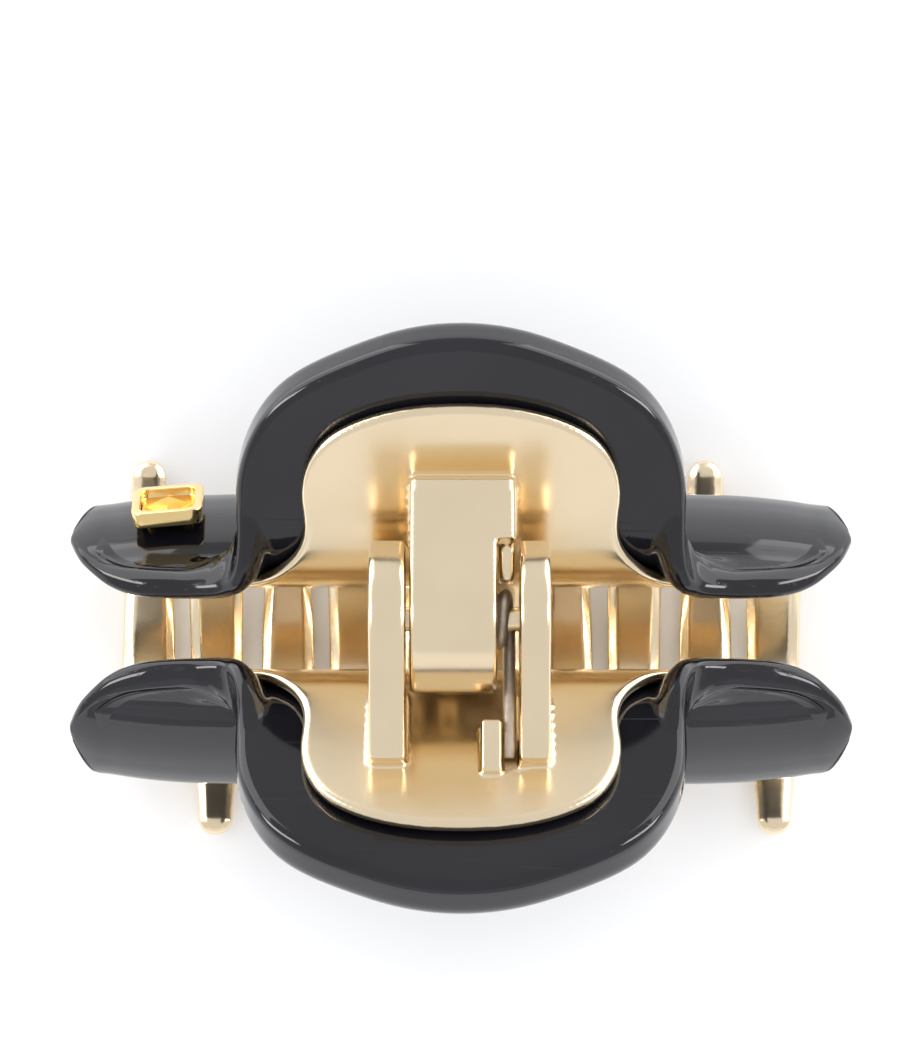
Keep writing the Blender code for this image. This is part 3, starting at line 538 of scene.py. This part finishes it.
def plate_line(first, last, steps):
    """Points (y, z) along the front plate, from one distance from the middle to another."""
    points = []
    for step in range(steps + 1):
        spot = jaw_point(0.0, s_at(first + (last - first) * step / steps), BLOCK_SEAT)
        points.append((spot.y, spot.z))
    return points


def mirrored(points):
    return [(-y, z) for y, z in points]


def ear_outline():
    upper = over_pin(*EAR_FACET) + round_pin(*EAR_LOBE) + over_pin((-EAR_ROOT, 1.9))
    return upper + plate_line(EAR_ROOT, EAR_FOOT, 6) + round_pin(*EAR_UNDER)


def cheek_outline():
    upper = round_pin(HOOD_RADIUS - HOOD_ROOF / 2, *CHEEK_TOP) + over_pin(CHEEK_CORNER)
    return upper + mirrored(plate_line(*CHEEK_FEET, 5)) + round_pin(*CHEEK_UNDER)


def side_outline():
    upper = over_pin(SIDE_TOP, CHEEK_CORNER)
    return upper + mirrored(plate_line(*SIDE_FEET, 5)) + over_pin(*SIDE_TAB)


def lug_outline(start, end, top):
    """Side view of the lug on the sloping front plate, with a level top over the pin."""
    return plate_line(end, start, 1) + over_pin((-start, top), (-end, top))


def wall_outline(start, end, height):
    corners = ((start, PLATE / 2), (end, PLATE / 2), (end, -height), (start, -height))
    spots = [jaw_point(0.0, s_at(u), offset) for u, offset in corners]
    return [(spot.y, spot.z) for spot in spots]


def roof_mesh():
    """Roof of the hood as a strip from its root over the top and down round the pin."""
    inner_radius = HOOD_RADIUS - HOOD_ROOF
    outside = over_pin(*ROOF_OUTSIDE) + round_pin(HOOD_RADIUS, 70, 192, 44)
    inside = over_pin(*ROOF_INSIDE) + round_pin(inner_radius, 66, 192, 44)
    pairs = [(Vector(outer), Vector(inner)) for outer, inner in zip(outside, inside)]
    lengths = [0.0]
    for (first, _), (second, _) in zip(pairs, pairs[1:]):
        lengths.append(lengths[-1] + (second - first).length)
    rings = []
    for (outer, inner), length in zip(pairs, lengths):
        left = lengths[-1] - length
        pull = HOOD_CORNER - math.sqrt(HOOD_CORNER ** 2 - max(HOOD_CORNER - left, 0.0) ** 2)
        right = HOOD_NOTCH[0] if outer.x < HOOD_NOTCH[1] else HOOD_RIGHT
        middle = (outer + inner) / 2
        outwards = (outer - inner).normalized()
        half = (outer - inner).length / 2 * (0.45 + 0.55 * min(left / 0.5, 1.0) ** 0.5)
        rings.append([(across, middle.x + deep * outwards.x, middle.y + deep * outwards.y)
                      for across, deep in section(HOOD_LEFT + pull, right - pull, half, 0.36)])
    return loft_mesh(rings)


def section(low, high, half, radius):
    """Rounded rectangle from low to high across, and half either way in depth."""
    radius = min(radius, half)
    ring = []
    for middle, deep, start in ((high - radius, half - radius, 0), (low + radius, half - radius, 90),
                                (low + radius, radius - half, 180),
                                (high - radius, radius - half, 270)):
        for step in range(6):
            angle = math.radians(start + 18 * step)
            ring.append((middle + radius * math.cos(angle), deep + radius * math.sin(angle)))
    return ring


def cast(name, parts):
    """One casting from overlapping closed parts, with a drilled hinge bore."""
    item = new_object(name, *merged(parts))
    remesh = item.modifiers.new("cast", "REMESH")
    remesh.mode = "VOXEL"
    remesh.voxel_size = VOXEL * MM
    remesh.use_smooth_shade = True
    apply_modifiers(item)
    smooth = item.modifiers.new("soften", "SMOOTH")
    smooth.factor = 0.5
    smooth.iterations = 5
    apply_modifiers(item)
    drill = new_object("drill", *cylinder_mesh(BORE_RADIUS, -9.0, 9.0, 48))
    bore = item.modifiers.new("bore", "BOOLEAN")
    bore.operation = "DIFFERENCE"
    bore.solver = "EXACT"
    bore.object = drill
    thin = item.modifiers.new("thin", "DECIMATE")
    thin.ratio = 0.4
    apply_modifiers(item)
    bpy.data.objects.remove(drill)
    item.data.shade_smooth()
    return item


def cylinder_mesh(radius, start, end, sides, chamfer=0.0):
    """Cylinder along the hinge, with chamfered ends if asked."""
    stations = [(start, radius - chamfer), (start + chamfer, radius), (end - chamfer, radius),
                (end, radius - chamfer)]
    if chamfer == 0.0:
        stations = [stations[0], stations[-1]]
    rings = []
    for x, reach in stations:
        rings.append([(x, reach * math.cos(2 * math.pi * side / sides),
                       PIN_Z + reach * math.sin(2 * math.pi * side / sides))
                      for side in range(sides)])
    return loft_mesh(rings)


def turned_mesh(mesh):
    points, faces = mesh
    return [(-x, -y, z) for x, y, z in points], faces


# ---------------------------------------------------------------- spring


def leg_line(reach, side):
    """Start angle on the coil and end (y, z over the pin) of a leg that lies on a plate."""
    plate = jaw_point(0.0, s_at(reach), -(WIRE_RADIUS + 0.05))
    rise = plate.z - PIN_Z
    angle = math.atan2(rise, -plate.y) - math.acos(COIL_RADIUS / math.hypot(plate.y, rise))
    if side > 0:
        return angle, Vector((-plate.y, rise))
    return math.pi - angle, Vector((plate.y, rise))


def spring_mesh():
    front_angle, front_end = leg_line(LEG_ENDS[0], -1)
    rear_angle, rear_end = leg_line(LEG_ENDS[1], 1)
    sweep = rear_angle - (front_angle - 2 * math.pi) + 2 * math.pi * COIL_TURNS
    left = COIL_RIGHT - COIL_PITCH * COIL_TURNS
    path = []
    coil = 40 * COIL_TURNS
    for step in range(coil + 1):
        ratio = step / coil
        angle = front_angle + sweep * ratio
        path.append(Vector((COIL_RIGHT + (left - COIL_RIGHT) * ratio,
                            COIL_RADIUS * math.cos(angle), COIL_RADIUS * math.sin(angle))))
    first = Vector((COIL_RIGHT, *front_end))
    last = Vector((left, *rear_end))
    before = [first.lerp(path[0], step / 14) for step in range(14)]
    after = [path[-1].lerp(last, step / 14) for step in range(1, 15)]
    path = before + path + after
    rings = []
    normal = Vector((1, 0, 0))
    for index, spot in enumerate(path):
        run = (path[min(index + 1, len(path) - 1)] - path[max(index - 1, 0)]).normalized()
        normal = (normal - run * normal.dot(run)).normalized()
        side_way = run.cross(normal)
        reach = WIRE_RADIUS * (0.75 if index in (0, len(path) - 1) else 1.0)
        ring = []
        for side in range(20):
            angle = 2 * math.pi * side / 20
            around = math.cos(angle) * normal + math.sin(angle) * side_way
            ring.append(spot + reach * around + Vector((0, 0, PIN_Z)))
        rings.append(ring)
    return loft_mesh(rings)


# ---------------------------------------------------------------- ornament


def square_ring(size, rounding, height):
    """Ring of a square with round corners at a height, as points (x, y, z)."""
    half = size / 2 - rounding
    steps = 7
    ring = []
    for quarter, (cx, cy) in enumerate(((half, half), (-half, half), (-half, -half), (half, -half))):
        for step in range(steps + 1):
            angle = math.pi / 2 * (quarter + step / steps)
            ring.append((cx + rounding * math.cos(angle), cy + rounding * math.sin(angle), height))
    return ring


def ornament_place():
    x, s = ORNAMENT_PLACE
    surface = shell_outer(x, s)
    turned = Matrix.Rotation(math.pi, 4, "Z")
    return turned @ jaw_place(x, s, surface) @ Matrix.Rotation(ORNAMENT_TILT, 4, "Y")


def placed(mesh, place):
    points, faces = mesh
    return [tuple(place @ Vector(point)) for point in points], faces


def bezel_mesh():
    back = ORNAMENT_STANDOFF
    front = back + ORNAMENT_DEPTH
    floor = front - ORNAMENT_RECESS
    size, rounding, soft = ORNAMENT_SIZE, 0.9, 0.16
    inside = size - 2 * ORNAMENT_WALL
    rings = [square_ring(size - 2 * soft, rounding - soft, back)]
    for angle in (30, 60, 90):
        turn = math.radians(angle)
        rings.append(square_ring(size - 2 * soft * (1 - math.sin(turn)),
                                 rounding - soft * (1 - math.sin(turn)),
                                 back + soft * (1 - math.cos(turn))))
    for angle in (90, 60, 30, 0):
        turn = math.radians(angle)
        rings.append(square_ring(size - 2 * soft * (1 - math.sin(turn)),
                                 rounding - soft * (1 - math.sin(turn)),
                                 front - soft * (1 - math.cos(turn))))
    inner_rounding = rounding - ORNAMENT_WALL / 2
    for angle in (0, 30, 60, 90):
        turn = math.radians(angle)
        edge = 0.12 * (1 - math.sin(turn))
        rings.append(square_ring(inside + 2 * edge, inner_rounding + edge,
                                 front - 0.12 * (1 - math.cos(turn))))
    rings.append(square_ring(inside, inner_rounding, floor + 0.1))
    rings.append(square_ring(inside - 0.15, inner_rounding - 0.05, floor))
    return loft_mesh(rings)


RECESS_ANGLES = [2 * math.pi * side / 48 for side in range(48)]


def square_point(angle):
    """Point at an angle on a square that just fits the recess, with soft corners."""
    half = ORNAMENT_SIZE / 2 - ORNAMENT_WALL - 0.1
    cosine, sine = math.cos(angle), math.sin(angle)
    reach = half / (abs(cosine) ** 6 + abs(sine) ** 6) ** (1 / 6)
    return reach * cosine, reach * sine


def centre_mesh():
    """Floor of the recess with a low four-sided boss, set corner to side."""
    floor = ORNAMENT_STANDOFF + ORNAMENT_DEPTH - ORNAMENT_RECESS
    rings = []
    for height in (0.01, 0.1):
        rings.append([(*square_point(angle), floor + height) for angle in RECESS_ANGLES])
    for reach, height in ((1.72, 0.1), (1.68, 0.2), (1.0, 0.45), (0.66, 0.52), (0.36, 0.5),
                          (0.2, 0.46)):
        ring = []
        for angle in RECESS_ANGLES:
            turn = (angle + math.pi / 4) % (math.pi / 2) - math.pi / 4
            diamond = 1 / (abs(math.cos(angle)) + abs(math.sin(angle)))
            soft = 0.86 * diamond + 0.14 * math.cos(turn) ** 0.5
            ring.append((reach * soft * math.cos(angle), reach * soft * math.sin(angle),
                         floor + height))
        rings.append(ring)
    return loft_mesh(rings)


def post_mesh(shift):
    rings = []
    for radius, height in ((0.45, -0.5), (0.45, ORNAMENT_STANDOFF + 0.1)):
        rings.append([(shift + radius * math.cos(2 * math.pi * side / 24),
                       radius * math.sin(2 * math.pi * side / 24), height)
                      for side in range(24)])
    return loft_mesh(rings)


# ---------------------------------------------------------------- materials


class Nodes:
    """Short way to build one material's node tree."""

    def __init__(self, name):
        self.material = bpy.data.materials.new(name)
        self.material.use_nodes = True
        self.tree = self.material.node_tree
        self.shader = self.tree.nodes["Principled BSDF"]
        self.place = self.add("ShaderNodeTexCoord").outputs["Object"]

    def add(self, kind, **settings):
        node = self.tree.nodes.new(kind)
        for key, value in settings.items():
            setattr(node, key, value)
        return node

    def link(self, source, target):
        self.tree.links.new(source, target)

    def stretched(self, scale, turn=(0.0, 0.0, 0.0)):
        mapping = self.add("ShaderNodeMapping")
        mapping.inputs["Scale"].default_value = scale
        mapping.inputs["Rotation"].default_value = turn
        self.link(self.place, mapping.inputs["Vector"])
        return mapping.outputs["Vector"]

    def noise(self, scale, detail=2.0, vector=None):
        node = self.add("ShaderNodeTexNoise")
        node.inputs["Scale"].default_value = scale
        node.inputs["Detail"].default_value = detail
        self.link(vector or self.place, node.inputs["Vector"])
        return node.outputs["Fac"]

    def ramp(self, source, low, high, first, last):
        node = self.add("ShaderNodeMapRange", interpolation_type="SMOOTHSTEP")
        node.inputs["From Min"].default_value = low
        node.inputs["From Max"].default_value = high
        node.inputs["To Min"].default_value = first
        node.inputs["To Max"].default_value = last
        self.link(source, node.inputs["Value"])
        return node.outputs["Result"]

    def mix(self, share, first, last):
        node = self.add("ShaderNodeMix", data_type="RGBA")
        node.inputs["A"].default_value = (*first, 1.0)
        node.inputs["B"].default_value = (*last, 1.0)
        self.link(share, node.inputs["Factor"])
        return node.outputs["Result"]

    def maths(self, operation, first, second):
        node = self.add("ShaderNodeMath", operation=operation)
        self.link(first, node.inputs[0])
        if isinstance(second, float):
            node.inputs[1].default_value = second
        else:
            self.link(second, node.inputs[1])
        return node.outputs["Value"]

    def bump(self, height, distance, strength=1.0, under=None):
        node = self.add("ShaderNodeBump")
        node.inputs["Strength"].default_value = strength
        node.inputs["Distance"].default_value = distance
        self.link(height, node.inputs["Height"])
        if under:
            self.link(under, node.inputs["Normal"])
        return node.outputs["Normal"]

    def scratches(self, turns, stretch, fineness):
        """1 in a few long thin lines in several directions, 0 elsewhere."""
        total = None
        for turn in turns:
            vector = self.stretched((stretch, fineness, fineness), turn)
            line = self.noise(1.0, 0.0, vector)
            line = self.ramp(line, 0.752, 0.785, 0.0, 1.0)
            total = line if total is None else self.maths("MAXIMUM", total, line)
        return total

    def done(self, colour, roughness, normal, **constants):
        self.link(colour, self.shader.inputs["Base Color"])
        self.link(roughness, self.shader.inputs["Roughness"])
        self.link(normal, self.shader.inputs["Normal"])
        for key, value in constants.items():
            self.shader.inputs[key.replace("_", " ")].default_value = value
        return self.material


def gold_material(name, first, last, smooth, rough):
    nodes = Nodes(name)
    tone = nodes.ramp(nodes.noise(220.0, 3.0), 0.3, 0.7, 0.0, 1.0)
    colour = nodes.mix(tone, first, last)
    grain = nodes.noise(9000.0, 2.0)
    roughness = nodes.ramp(nodes.noise(260.0, 2.0), 0.25, 0.75, smooth, rough)
    soft = nodes.bump(nodes.noise(160.0, 1.0), 0.00003, 0.35)
    normal = nodes.bump(grain, 0.0000012, 0.3, soft)
    return nodes.done(colour, roughness, normal, Metallic=1.0)


def acetate_material():
    nodes = Nodes("black acetate")
    tone = nodes.ramp(nodes.noise(90.0, 2.0), 0.35, 0.65, 0.0, 1.0)
    colour = nodes.mix(tone, (0.0045, 0.0045, 0.0065), (0.0075, 0.0075, 0.0105))
    lines = nodes.scratches(((0.9, 0.5, 0.8), (1.4, -0.6, -0.9), (-0.7, 1.1, 2.2)), 90.0, 3600.0)
    cloud = nodes.ramp(nodes.noise(160.0, 5.0), 0.45, 0.7, 0.045, 0.10)
    roughness = nodes.maths("ADD", cloud, nodes.maths("MULTIPLY", lines, 0.2))
    wave = nodes.bump(nodes.noise(120.0, 1.0), 0.00008, 0.35)
    normal = nodes.bump(lines, 0.000004, -0.5, wave)
    return nodes.done(colour, roughness, normal, IOR=1.53)


def steel_material():
    nodes = Nodes("spring steel")
    tone = nodes.ramp(nodes.noise(900.0, 4.0), 0.35, 0.65, 0.0, 1.0)
    colour = nodes.mix(tone, (0.66, 0.60, 0.54), (0.76, 0.70, 0.64))
    roughness = nodes.ramp(nodes.noise(2600.0, 3.0), 0.3, 0.7, 0.50, 0.60)
    normal = nodes.bump(nodes.noise(6000.0, 2.0), 0.000003, 0.3)
    return nodes.done(colour, roughness, normal, Metallic=1.0)


def floor_material():
    nodes = Nodes("pale floor")
    tone = nodes.ramp(nodes.noise(6.0, 2.0), 0.3, 0.7, 0.0, 1.0)
    colour = nodes.mix(tone, (0.925, 0.93, 0.935), (0.935, 0.94, 0.945))
    roughness = nodes.ramp(nodes.noise(40.0, 2.0), 0.3, 0.7, 0.75, 0.85)
    normal = nodes.bump(nodes.noise(400.0, 2.0), 0.00002, 0.05)
    return nodes.done(colour, roughness, normal, Specular_IOR_Level=0.2)


# ---------------------------------------------------------------- pieces


def finish_piece(item, material, slot, body, *replaced):
    item.data.materials.clear()
    item.data.materials.append(material)
    if body:
        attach(item, body)
    if replaced:
        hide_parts(*replaced)
    return item


GOLD = gold_material("satin gold plating", (0.92, 0.765, 0.525), (0.94, 0.785, 0.545), 0.19, 0.24)
POLISHED = gold_material("polished gold plating", (0.95, 0.70, 0.30), (0.97, 0.74, 0.36),
                         0.10, 0.15)
# A copy of the gold, deeper and more orange, for the ornament's recessed centre: painted shade
# standing in for light bounced round inside the recess
RECESS_SHADE_GOLD = gold_material("gold plating with painted recess shade", (0.93, 0.47, 0.06), (0.95, 0.53, 0.09),
                          0.20, 0.28)
ACETATE = acetate_material()
STEEL = steel_material()

plate = plate_mesh()
teeth = [tooth_mesh(TOOTH_SHIFT + (index - 2) * TOOTH_PITCH) for index in range(5)]
ears = [block_mesh(ear_outline(), span, 0.38) for span in EAR_SPANS]
lugs = [block_mesh(lug_outline(*LUG), LUG_SPAN, 0.2),
        block_mesh(wall_outline(*WALL), WALL_SPAN, 0.2)]
front_frame = cast("front_casting", [plate, *teeth, *ears, *lugs])
finish_piece(front_frame, GOLD, "gold_plating", "front_jaw", "front_frame")

hood = [roof_mesh(), *(block_mesh(cheek_outline(), span, 0.1) for span in CHEEK_SPANS),
        block_mesh(side_outline(), SIDE_SPAN, 0.25)]
rear_frame = cast("rear_casting", [turned_mesh(part) for part in (plate, *teeth)] + hood)
finish_piece(rear_frame, GOLD, "gold_plating", "rear_jaw", "rear_frame")

covering = shell_mesh()
front_shell = new_object("front_acetate", *covering)
finish_piece(front_shell, ACETATE, "black_acetate", "front_jaw", "front_shell")
rear_shell = new_object("rear_acetate", *turned_mesh(covering))
finish_piece(rear_shell, ACETATE, "black_acetate", "rear_jaw", "rear_shell")

pin = new_object("turned_pin", *cylinder_mesh(PIN_RADIUS, *PIN_ENDS, 48, 0.15))
pin.data.set_sharp_from_angle(angle=math.radians(30))
finish_piece(pin, GOLD, "gold_plating", "front_jaw", "hinge_pin")

spring = new_object("wound_spring", *spring_mesh())
finish_piece(spring, STEEL, "spring_steel", None, "torsion_spring")
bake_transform(spring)

place = ornament_place()
for name, mesh, gold in (("bezel", bezel_mesh(), POLISHED),
                         # the centre's deeper orange gold is painted recess shade
                         ("centre", centre_mesh(), RECESS_SHADE_GOLD),
                         ("post_left", post_mesh(POST_SPACING / 2), POLISHED),
                         ("post_right", post_mesh(-POST_SPACING / 2), POLISHED)):
    piece = new_object(f"gold_{name}", *placed(mesh, place))
    piece.data.set_sharp_from_angle(angle=math.radians(40))
    finish_piece(piece, gold, "polished_gold", "rear_jaw", f"ornament_{name}")

for node in NODES.values():
    if "stud" in node.name:
        node.data.materials.clear()
        node.data.materials.append(STEEL)

# ---------------------------------------------------------------- floor, light and camera

floor = new_object("floor", [(-2000, -2000, 0), (2000, -2000, 0), (2000, 2000, 0),
                             (-2000, 2000, 0)], [(0, 1, 2, 3)])
floor.data.materials.append(floor_material())


def area_light(name, place, size, radiance, seen_in, colour=(1.0, 1.0, 1.0)):
    """Rectangular soft light that faces the clip, seen in shading or in reflections only."""
    data = bpy.data.lights.new(name, "AREA")
    data.shape = "RECTANGLE"
    data.size = size[0] * MM
    data.size_y = size[1] * MM
    data.energy = 4 * radiance * data.size * data.size_y
    data.color = colour
    item = bpy.data.objects.new(name, data)
    bpy.context.scene.collection.objects.link(item)
    item.location = Vector(place) * MM
    aim = Vector((0, 0, 20)) * MM - item.location
    item.rotation_euler = aim.to_track_quat("-Z", "Y").to_euler()
    item.visible_diffuse = seen_in != "reflections"
    item.visible_glossy = seen_in != "shading"
    return item


WARM = (1.0, 0.93, 0.93)
area_light("overhead", (0, 0, 650), (800, 800), 1.25, "shading")
area_light("front_fill", (0, -500, 260), (700, 340), 1.3, "shading")
area_light("back_fill", (0, 500, 260), (500, 300), 0.7, "shading")
area_light("front_card", (0, -500, 200), (900, 260), 0.14, "reflections")
area_light("left_side", (-420, 60, 240), (110, 280), 7.0, "reflections", WARM)
area_light("right_side", (420, 60, 240), (110, 280), 7.0, "reflections", WARM)
area_light("left_back", (-75, 75, 34), (110, 100), 1.5, "reflections")
area_light("right_back", (75, 75, 34), (110, 100), 1.5, "reflections")

world = bpy.data.worlds.new("studio")
bpy.context.scene.world = world
world.use_nodes = True
world.node_tree.nodes["Background"].inputs["Color"].default_value = (0.96, 0.965, 1.0, 1.0)
world.node_tree.nodes["Background"].inputs["Strength"].default_value = 0.78
bpy.context.scene.view_settings.view_transform = "Standard"

SENSOR_HEIGHT = 36.0
VIEW_HEIGHT = 74.3               # height of the scene that the camera takes in
CAMERA_DISTANCE = 450.0
CAMERA_TILT = math.radians(4.95)
CAMERA_TARGET = Vector((0.0, 7.4, WAIST_Z))
camera_data = bpy.data.cameras.new("camera")
camera_data.sensor_fit = "VERTICAL"
camera_data.sensor_height = SENSOR_HEIGHT
camera_data.lens = SENSOR_HEIGHT * CAMERA_DISTANCE / VIEW_HEIGHT
camera = bpy.data.objects.new("camera", camera_data)
bpy.context.scene.collection.objects.link(camera)
away = Vector((0.0, -math.sin(CAMERA_TILT), math.cos(CAMERA_TILT)))
camera.location = (CAMERA_TARGET + CAMERA_DISTANCE * away) * MM
camera.rotation_euler = (CAMERA_TILT, 0.0, 0.0)
camera_data.clip_start = 0.01
camera_data.clip_end = 20.0
bpy.context.scene.camera = camera
